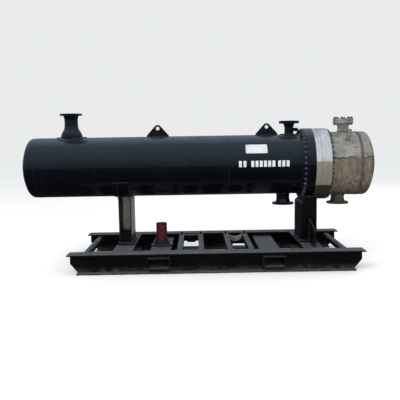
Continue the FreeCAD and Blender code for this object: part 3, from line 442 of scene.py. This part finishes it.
def turned(builder, origin, direction, profile, count):
    """Turned form: (radius, distance) profile about a direction, closed at both ends."""
    along, side, up = axes_along(direction)
    rings = []
    for radius, distance in profile:
        points = [origin + along * distance + radius * (
            side * math.cos(TURN * i / count) + up * math.sin(TURN * i / count))
            for i in range(count)]
        rings.append(builder.ring(points))
    for first, second in zip(rings, rings[1:]):
        builder.bridge(first, second)
    builder.cap(rings[0], flip=True)
    builder.cap(rings[-1])


HEX_POINTS = 24


def nut(builder, origin, direction, flats, height, twist):
    """Heavy hexagon nut with a chamfered outer face and a washer face."""
    along, side, up = axes_along(direction)

    def hexagon(angle):
        return flats / 2 / math.cos((angle % (TURN / 6)) - TURN / 12)

    rings = []
    chamfer = flats * 0.07
    levels = [(0.0, 0.94), (flats * 0.02, 0.94), (flats * 0.03, None),
              (height - chamfer, None), (height, 0.96), (height, 0.62)]
    for distance, limit in levels:
        points = []
        for i in range(HEX_POINTS):
            angle = TURN * i / HEX_POINTS
            radius = hexagon(angle)
            if limit:
                radius = min(radius, limit * flats / 2)
            turn = angle + twist
            points.append(origin + along * distance + radius * (
                side * math.cos(turn) + up * math.sin(turn)))
        rings.append(builder.ring(points))
    for first, second in zip(rings, rings[1:]):
        builder.bridge(first, second)
    builder.cap(rings[0], flip=True)
    builder.cap(rings[-1])


def stud_end(builder, origin, direction, radius, length):
    """Threaded end of a stud with a domed tip."""
    pitch = 0.003
    profile = []
    for i in range(int(length / pitch)):
        profile += [(radius, i * pitch), (radius * 0.92, (i + 0.5) * pitch)]
    profile += [(radius * 0.94, length), (radius * 0.55, length + radius * 0.12)]
    turned(builder, origin, direction, profile, 14)


def stud_circle(name, centre, direction, circle, count, flats, stud_r, material, offset=0.5):
    """Nuts and stud ends on a bolt circle whose axis is the direction."""
    builder = Builder()
    along, side, up = axes_along(direction)
    for i in range(count):
        angle = TURN * (i + offset) / count
        seat = centre + circle * (side * math.cos(angle) + up * math.sin(angle))
        height = stud_r * 1.9
        nut(builder, seat, along, flats, height, 1.7 * i)
        wander = noise.noise(seat * 31.0) * 0.002
        stud_end(builder, seat + along * height * 0.7, along, stud_r, stud_r * 1.35 + wander)
    return builder.piece(name, material)


BEAD_POINTS = 7
BEAD_SIDE = Vector((0.31, 0.47, 0.83))


def bead(builder, path, radius, closed):
    """Rippled weld bead along a path."""
    count = len(path)
    rings = []
    for i, point in enumerate(path):
        before = path[i - 1] if closed or i else point
        after = path[(i + 1) % count] if closed or i < count - 1 else point
        along = (after - before).normalized()
        swell = 1.0 + 0.16 * math.sin(i * 2.4) + 0.22 * noise.noise(point * 40.0)
        size = radius * swell
        if not closed and i in (0, count - 1):
            size *= 0.4
        side = (BEAD_SIDE - along * BEAD_SIDE.dot(along)).normalized()
        up = along.cross(side)
        rings.append(builder.ring([point + size * (
            side * math.cos(TURN * k / BEAD_POINTS) + up * math.sin(TURN * k / BEAD_POINTS))
            for k in range(BEAD_POINTS)]))
    for first, second in zip(rings, rings[1:]):
        builder.bridge(first, second)
    if closed:
        builder.bridge(rings[-1], rings[0])
    else:
        builder.cap(rings[0], flip=True)
        builder.cap(rings[-1])


def welds(name, paths, radius, material, closed=True):
    builder = Builder()
    for path in paths:
        bead(builder, path, radius, closed)
    return builder.piece(name, material, smooth=True)


STEP = 0.006


def stepped(corners, closed=True):
    """Points at an even step along straight lines between corners."""
    points = []
    for first, second in zip(corners, corners[1:] + (corners[:1] if closed else [])):
        count = max(2, int((second - first).length / STEP))
        points += [first.lerp(second, i / count) for i in range(count)]
    if not closed:
        points.append(corners[-1])
    return points


def girth_path(x, radius, start=0.0, end=TURN, count=None):
    """Circle, or part of one, about the shell axis; the angle runs from the top."""
    count = count or max(4, int(radius * abs(end - start) / STEP))
    full = abs(end - start - TURN) < 1e-6
    return [Vector((x, radius * math.sin(start + (end - start) * i / count),
                    AXIS_Z + radius * math.cos(start + (end - start) * i / count)))
            for i in range(count if full else count + 1)]


def saddle_path(x, neck, barrel, sign=1):
    """Line where an upright neck meets the round wall of a barrel."""
    count = int(neck * TURN / STEP)
    points = []
    for i in range(count):
        angle = TURN * i / count
        y = neck * math.sin(angle)
        z = math.sqrt(barrel ** 2 - y ** 2)
        points.append(Vector((x + neck * math.cos(angle), y, AXIS_Z + sign * z)))
    return points


def flat_circle(centre, radius, direction):
    along, side, up = axes_along(direction)
    count = max(12, int(radius * TURN / STEP))
    return [centre + radius * (side * math.cos(TURN * i / count) + up * math.sin(
        TURN * i / count)) for i in range(count)]


def level_box(low, high, z):
    """Rectangle round a box at one height."""
    return [Vector((low.x, low.y, z)), Vector((high.x, low.y, z)),
            Vector((high.x, high.y, z)), Vector((low.x, high.y, z))]


# Girth joint: studs through both rings, and the edges of the packing between them

GIRTH_STUDS = 40
STUD_R = 0.0127
STUD_FLATS = 0.0365
STUD_CIRCLE = GIRTH_R - 0.025

X_AXIS = Vector((1, 0, 0))
Z_AXIS = Vector((0, 0, 1))


def on_axis(x):
    return Vector((x, 0, AXIS_Z))


stud_circle("girth_nuts_rear", on_axis(GIRTH_REAR_X), -X_AXIS, STUD_CIRCLE, GIRTH_STUDS,
            STUD_FLATS, STUD_R, nut_dark)
stud_circle("girth_nuts_front", on_axis(ring_high.x), X_AXIS, STUD_CIRCLE, GIRTH_STUDS,
            STUD_FLATS, STUD_R, nut_dark)


def packing_edge(name, x):
    """Dark line of packing where two rings meet."""
    builder = Builder()
    proud, half = 0.0006, 0.0016
    rings = [builder.ring(girth_path(x + dx, GIRTH_R + dr, count=240)) for dx, dr in (
        (-half, -0.0004), (-half * 0.7, proud), (half * 0.7, proud), (half, -0.0004))]
    for first, second in zip(rings, rings[1:]):
        builder.bridge(first, second)
    builder.bridge(rings[-1], rings[0])
    return builder.piece(name, gasket_dark, smooth=True)


packing_edge("packing_shell_side", sheet_low.x)
packing_edge("packing_channel_side", ring_low.x)

# Bolting of the blind cover on the channel

cover_low, cover_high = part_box("channel_top_cover")
cover_centre = middle_of("channel_top_cover")
COVER_CIRCLE = 0.10795
COVER_FLANGE = 0.0318
COVER_STUDS = 8
COVER_FLATS = 0.027
COVER_STUD_R = 0.008
cover_spot = Vector((cover_centre.x, 0, cover_high.z))
under_spot = Vector((cover_centre.x, 0, cover_low.z - COVER_FLANGE))
for name, spot, way in (("cover_nuts_top", cover_spot, Z_AXIS),
                        ("cover_nuts_under", under_spot, -Z_AXIS)):
    stud_circle(name, spot, way, COVER_CIRCLE, COVER_STUDS, COVER_FLATS, COVER_STUD_R, nut_pale)

# Welds of the shell

head_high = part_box("shell_head")[1]
welds("shell_seams", [girth_path(head_high.x, SHELL_R - 0.0012),
                      girth_path(front_low.x, SHELL_R - 0.0014),
                      girth_path(girth_low.x, SHELL_R - 0.0012)], 0.0034, weld_black)
REAR_PAD_R = 0.182
FRONT_PAD_R = 0.112
PAD = 0.010
REAR_NECK_SEAM_R = 0.0835
FRONT_NECK_SEAM_R = 0.0585
BOTTOM_NECK_SEAM_R = 0.0855
CHANNEL_TOP_NECK_SEAM_R = 0.074
rear_nozzle = middle_of("rear_top_nozzle")
front_nozzle = middle_of("front_top_nozzle")
bottom_nozzle = middle_of("bottom_nozzle")
rear_nozzle_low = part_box("rear_top_nozzle")[0]
REDUCER_R = 0.1365
welds("shell_nozzle_welds", [
    saddle_path(rear_nozzle.x, REAR_PAD_R + 0.001, SHELL_R + 0.003),
    saddle_path(rear_nozzle.x, REDUCER_R + 0.001, SHELL_R + PAD + 0.001),
    flat_circle(Vector((rear_nozzle.x, 0, rear_nozzle_low.z)), REAR_NECK_SEAM_R, Z_AXIS),
    saddle_path(front_nozzle.x, FRONT_PAD_R + 0.001, SHELL_R + 0.003),
    saddle_path(front_nozzle.x, FRONT_NECK_SEAM_R, SHELL_R + PAD + 0.001),
    saddle_path(bottom_nozzle.x, BOTTOM_NECK_SEAM_R, SHELL_R + 0.001, -1)], 0.0058, weld_black)


def lug_paths():
    paths = []
    for name in ("lifting_lug_rear", "lifting_lug_front"):
        low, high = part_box(name)
        corners = level_box(low, high, AXIS_Z + SHELL_R + 0.001)
        paths.append(stepped(corners))
    return paths


welds("lug_welds", lug_paths(), 0.0052, weld_black)

# Welds of the channel

channel_nozzle = middle_of("channel_top_nozzle")
channel_under = middle_of("channel_bottom_nozzle")
vent_low, vent_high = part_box("channel_vent")
VENT_ELEVATION = math.radians(50)


def vent_path():
    """Ring where the slanting vent leaves the channel."""
    out = Vector((0, -math.cos(VENT_ELEVATION), math.sin(VENT_ELEVATION)))
    x = (vent_low.x + vent_high.x) / 2
    radius = (vent_high.x - vent_low.x) / 2 + 0.001
    points = []
    count = int(radius * TURN / 0.004)
    for i in range(count):
        angle = TURN * i / count
        across = radius * math.sin(angle)
        turn = VENT_ELEVATION + math.asin(across / CHANNEL_R)
        points.append(Vector((x + radius * math.cos(angle), -CHANNEL_R * math.cos(turn),
                              AXIS_Z + CHANNEL_R * math.sin(turn))))
    return points


welds("channel_seams", [girth_path(channel_high.x, CHANNEL_R - 0.001),
                        girth_path(channel_low.x + 0.001, CHANNEL_R + 0.001)], 0.0052, weld_tan)
welds("channel_nozzle_welds", [
    saddle_path(channel_nozzle.x, CHANNEL_TOP_NECK_SEAM_R, CHANNEL_R + 0.001),
    saddle_path(channel_under.x, BOTTOM_NECK_SEAM_R, CHANNEL_R + 0.001, -1),
    vent_path()], 0.0062, weld_tan)

# Welds of the supports

wear_low, wear_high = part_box("rear_saddle_wear_plate")
WEAR_ANGLE = math.radians(62)
wear_seat = SHELL_R + 0.002
sides_low, sides_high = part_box("rear_saddle_sides")
PLATE_R = SHELL_R + 0.0103
HORN_ANGLE = math.radians(58)


def wear_plate_edge():
    """Outline of the wear plate on the shell."""
    start, end = math.pi - WEAR_ANGLE, math.pi + WEAR_ANGLE
    rear = girth_path(wear_low.x, wear_seat, start, end)
    front = girth_path(wear_high.x, wear_seat, end, start)
    return (rear + stepped([rear[-1], front[0]], False)[1:-1] + front
            + stepped([front[-1], rear[0]], False)[1:-1])


welds("saddle_shell_welds", [wear_plate_edge()], 0.005, weld_black)
start, end = math.pi - HORN_ANGLE, math.pi + HORN_ANGLE
welds("saddle_plate_welds", [
    girth_path(sides_low.x - 0.001, PLATE_R + 0.001, start, end),
    girth_path(sides_high.x - 0.001, PLATE_R + 0.001, start, end)], 0.0048, weld_black,
      closed=False)


SADDLE_HALF_WIDTH = 0.215


def foot_paths():
    """Welds round the feet of both supports and round their base plates."""
    paths = []
    for base, column in (("rear_saddle_base", "rear_saddle_sides"),
                         ("front_support_base", "front_support_sides")):
        low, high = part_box(base)
        paths.append(stepped(level_box(low, high, low.z + 0.002)))
        column_low, column_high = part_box(column)
        half = SADDLE_HALF_WIDTH if base.startswith("rear") else column_high.y
        foot_low = Vector((column_low.x, -half, 0))
        foot_high = Vector((column_high.x, half, 0))
        paths.append(stepped(level_box(foot_low, foot_high, high.z + 0.001)))
    return paths


welds("foot_welds", foot_paths(), 0.006, weld_grey)
gusset_low, gusset_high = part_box("front_support_gussets")
COLUMN_HALF_WIDTH = 0.237
GUSSET_ROOT_Y = 0.223


def gusset_paths():
    paths = []
    for x in (gusset_low.x, gusset_high.x):
        for side in (-1, 1):
            foot = [Vector((x, side * gusset_high.y, BEAM_TOP + 0.001)),
                    Vector((x, side * COLUMN_HALF_WIDTH, BEAM_TOP + 0.001))]
            paths.append(stepped(foot, False))
            root = [Vector((x, side * GUSSET_ROOT_Y, BASE_TOP)),
                    Vector((x, side * GUSSET_ROOT_Y, gusset_high.z))]
            paths.append(stepped(root, False))
    return paths


welds("gusset_welds", gusset_paths(), 0.0045, weld_grey, closed=False)

# Welds of the skid

beam_low, beam_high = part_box("skid_beam_near")
WEB_Y = -(beam_low.y + beam_high.y) / 2
WEB_HALF = 0.005


def pocket_paths():
    paths = []
    for name in ("fork_pocket_rear", "fork_pocket_front"):
        low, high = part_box(name)
        for side in (-1, 1):
            for face in (-1, 1):
                y = side * WEB_Y + face * (WEB_HALF + 0.001)
                corners = [Vector((low.x, y, low.z)), Vector((high.x, y, low.z)),
                           Vector((high.x, y, high.z)), Vector((low.x, y, high.z))]
                paths.append(stepped(corners))
    return paths


welds("pocket_welds", pocket_paths(), 0.0048, weld_grey)


def end_pipe_paths():
    low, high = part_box("skid_end_pipes")
    radius = (high.z - low.z) / 2
    z = (low.z + high.z) / 2
    paths = []
    for x in (low.x + radius, high.x - radius):
        for side in (-1, 1):
            paths.append(flat_circle(Vector((x, side * (high.y - 0.001), z)), radius + 0.001,
                                     Vector((0, 1, 0))))
    return paths


welds("end_pipe_welds", end_pipe_paths(), 0.0048, weld_grey)


BAR_WIDTH = 0.066


def crossing_paths():
    """Welds along the ends of the bars and cross members, on top of the beams' edges."""
    inner = beam_high.y
    paths = []
    spans = []
    for name in ("cross_member_rear", "cross_member_front"):
        low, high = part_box(name)
        spans.append((low.x, high.x))
    for name in ("cross_bars_rear", "cross_bars_front"):
        low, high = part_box(name)
        spans += [(low.x, low.x + BAR_WIDTH), (high.x - BAR_WIDTH, high.x)]
    for start, end in spans:
        for y in (inner, -inner):
            ends = [Vector((start, y, BEAM_TOP)), Vector((end, y, BEAM_TOP))]
            paths.append(stepped(ends, False))
    return paths


welds("crossing_welds", crossing_paths(), 0.0036, weld_grey, closed=False)
stub_low, stub_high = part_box("stub_pipe")
stub_x = (stub_low.x + stub_high.x) / 2
base_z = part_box("stub_base")[0].z
STUB_BASE_SEAM_R = 0.1075
welds("stub_welds", [
    flat_circle(Vector((stub_x, 0, stub_low.z + 0.001)), (stub_high.x - stub_low.x) / 2, Z_AXIS),
    flat_circle(Vector((stub_x, 0, base_z + 0.002)), STUB_BASE_SEAM_R, Z_AXIS)], 0.0052, weld_grey)

# Rivets of the blank plate, and plain bars in place of painted marks

tag_low, tag_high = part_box("tag_plate")


def on_shell(x, angle, radius):
    """Point on the near side of the shell, its angle measured up from the horizontal."""
    return Vector((x, -radius * math.cos(angle), AXIS_Z + radius * math.sin(angle)))


RIVET_PROFILE = [(0.0048, 0.0), (0.0046, 0.0012), (0.0034, 0.0026), (0.0012, 0.0032)]
RIVET_INSET = 0.014
RIVET_INSET_ANGLE = 0.045
TAG_FACE_R = SHELL_R + 0.0020


def tag_rivets():
    builder = Builder()
    top = math.asin((tag_high.z - AXIS_Z) / SHELL_R) - RIVET_INSET_ANGLE
    bottom = math.asin((tag_low.z - AXIS_Z) / SHELL_R) + RIVET_INSET_ANGLE
    for x in (tag_low.x + RIVET_INSET, tag_high.x - RIVET_INSET):
        for angle in (top, bottom):
            out = on_shell(0, angle, 1.0) - on_axis(0)
            turned(builder, on_shell(x, angle, TAG_FACE_R), out, RIVET_PROFILE, 14)
    return builder.piece("tag_rivets", nut_pale, smooth=True)


tag_rivets()

MARK_TOP = 0.178
MARK_BOTTOM = -0.020
MARK_STEPS = 8
MARK_BARS = (0.000, 0.056, 0.152, 0.204, 0.256, 0.308, 0.360, 0.412, 0.482, 0.534, 0.586)
MARK_WIDTH = 0.036
mark_start = front_low.x + 0.118


def marking_bars():
    """Plain upright white bars painted on the shell."""
    builder = Builder()
    under, over = SHELL_R + 0.0002, SHELL_R + 0.0007
    for offset in MARK_BARS:
        rings = []
        left = mark_start + offset
        right = left + MARK_WIDTH
        for i in range(MARK_STEPS + 1):
            angle = MARK_BOTTOM + (MARK_TOP - MARK_BOTTOM) * i / MARK_STEPS
            rings.append(builder.ring([on_shell(left, angle, under), on_shell(left, angle, over),
                                       on_shell(right, angle, over),
                                       on_shell(right, angle, under)]))
        for first, second in zip(rings, rings[1:]):
            builder.bridge(first, second)
        builder.cap(rings[0], flip=True)
        builder.cap(rings[-1])
    return builder.piece("marking_bars", bar_white)


marking_bars()

# Floor, light and camera

FLOOR_HALF = 45.0
FLOOR_STEPS = 24


def floor_material():
    """Pale floor. Glossy paint sees it as dark open ground, so that the shell keeps its depth."""
    s = Shader("floor_pale", roughness=0.9)
    soft = s.noise(0.7, 5, 0.6)
    pale = s.mix(s.between(soft, 0.3, 0.7), linear(247, 246, 244), linear(243, 242, 240))
    seen = s.add("LightPath").outputs["Is Glossy Ray"]
    colour = s.mix(seen, pale, linear(27, 26, 25))
    return s.finish(colour, s.between(soft, 0.3, 0.7, 0.85, 0.95), soft, 0.0002)


def floor():
    builder = Builder()
    rows = []
    for i in range(FLOOR_STEPS + 1):
        y = -FLOOR_HALF + 2 * FLOOR_HALF * i / FLOOR_STEPS
        rows.append(builder.ring([(-FLOOR_HALF + 2 * FLOOR_HALF * j / FLOOR_STEPS, y, 0.0)
                                  for j in range(FLOOR_STEPS + 1)]))
    for first, second in zip(rows, rows[1:]):
        builder.bridge(first, second, closed=False)
    mesh = bpy.data.meshes.new("floor")
    mesh.from_pydata(builder.points, [], builder.faces)
    mesh.materials.append(floor_material())
    made = bpy.data.objects.new("floor", mesh)
    bpy.context.scene.collection.objects.link(made)


floor()


def world():
    """Overcast sky, brighter overhead: pale to the camera, bluer and deeper in gloss paint."""
    made = bpy.data.worlds.new("overcast")
    made.use_nodes = True
    tree = made.node_tree
    tree.nodes.clear()
    place = tree.nodes.new("ShaderNodeTexCoord")
    split = tree.nodes.new("ShaderNodeSeparateXYZ")
    ramp = tree.nodes.new("ShaderNodeMapRange")
    ramp.inputs[1].default_value = -0.02
    ramp.inputs[2].default_value = 0.9
    colour = tree.nodes.new("ShaderNodeMix")
    colour.data_type = "RGBA"
    colour.inputs[6].default_value = (0.34, 0.37, 0.40, 1.0)
    colour.inputs[7].default_value = (1.15, 1.17, 1.19, 1.0)
    tint = tree.nodes.new("ShaderNodeMix")
    tint.data_type = "RGBA"
    tint.blend_type = "MULTIPLY"
    tint.inputs[7].default_value = (0.36, 0.47, 0.62, 1.0)
    light = tree.nodes.new("ShaderNodeBackground")
    plain = tree.nodes.new("ShaderNodeBackground")
    plain.inputs[0].default_value = linear(233, 235, 237)
    path = tree.nodes.new("ShaderNodeLightPath")
    choose = tree.nodes.new("ShaderNodeMixShader")
    output = tree.nodes.new("ShaderNodeOutputWorld")
    link = tree.links.new
    link(place.outputs["Generated"], split.inputs[0])
    link(split.outputs["Z"], ramp.inputs[0])
    link(ramp.outputs[0], colour.inputs[0])
    link(path.outputs["Is Glossy Ray"], tint.inputs[0])
    link(colour.outputs[2], tint.inputs[6])
    link(tint.outputs[2], light.inputs[0])
    link(path.outputs["Is Camera Ray"], choose.inputs[0])
    link(light.outputs[0], choose.inputs[1])
    link(plain.outputs[0], choose.inputs[2])
    link(choose.outputs[0], output.inputs[0])
    bpy.context.scene.world = made


world()


def area_light(name, place, target, size, power):
    """Soft square lamp aimed at a point, not mirrored in gloss paint."""
    lamp = bpy.data.lights.new(name, "AREA")
    lamp.energy = power
    lamp.size = size
    made = bpy.data.objects.new(name, lamp)
    made.location = place
    made.rotation_euler = (Vector(target) - Vector(place)).to_track_quat("-Z", "Y").to_euler()
    made.visible_glossy = False
    bpy.context.scene.collection.objects.link(made)


area_light("key", (-5.0, -6.0, 7.5), (0, 0, 1.0), 5.0, 420)
area_light("fill", (6.0, 5.0, 6.0), (0, 0, 1.0), 6.0, 200)
area_light("front", (1.0, -9.0, 1.8), (0, 0, 0.9), 5.0, 260)

CAMERA_PLACE = Vector((-0.0259, -7.2, 1.6517))
CAMERA_YAW = 0.005
CAMERA_PITCH = -0.12
CAMERA_ROLL = -0.0161
CAMERA_SENSOR = 36.0
CAMERA_LENS = 49.941


def camera():
    """Camera square to the near side, a little above the shell, looking slightly down."""
    data = bpy.data.cameras.new("camera")
    data.sensor_width = CAMERA_SENSOR
    data.lens = CAMERA_LENS
    made = bpy.data.objects.new("camera", data)
    turn = (Matrix.Rotation(-CAMERA_YAW, 4, "Z") @ Matrix.Rotation(
        math.pi / 2 + CAMERA_PITCH, 4, "X") @ Matrix.Rotation(CAMERA_ROLL, 4, "Z"))
    made.matrix_world = Matrix.Translation(CAMERA_PLACE) @ turn
    bpy.context.scene.collection.objects.link(made)
    bpy.context.scene.camera = made


camera()
bpy.context.scene.view_settings.view_transform = "Standard"
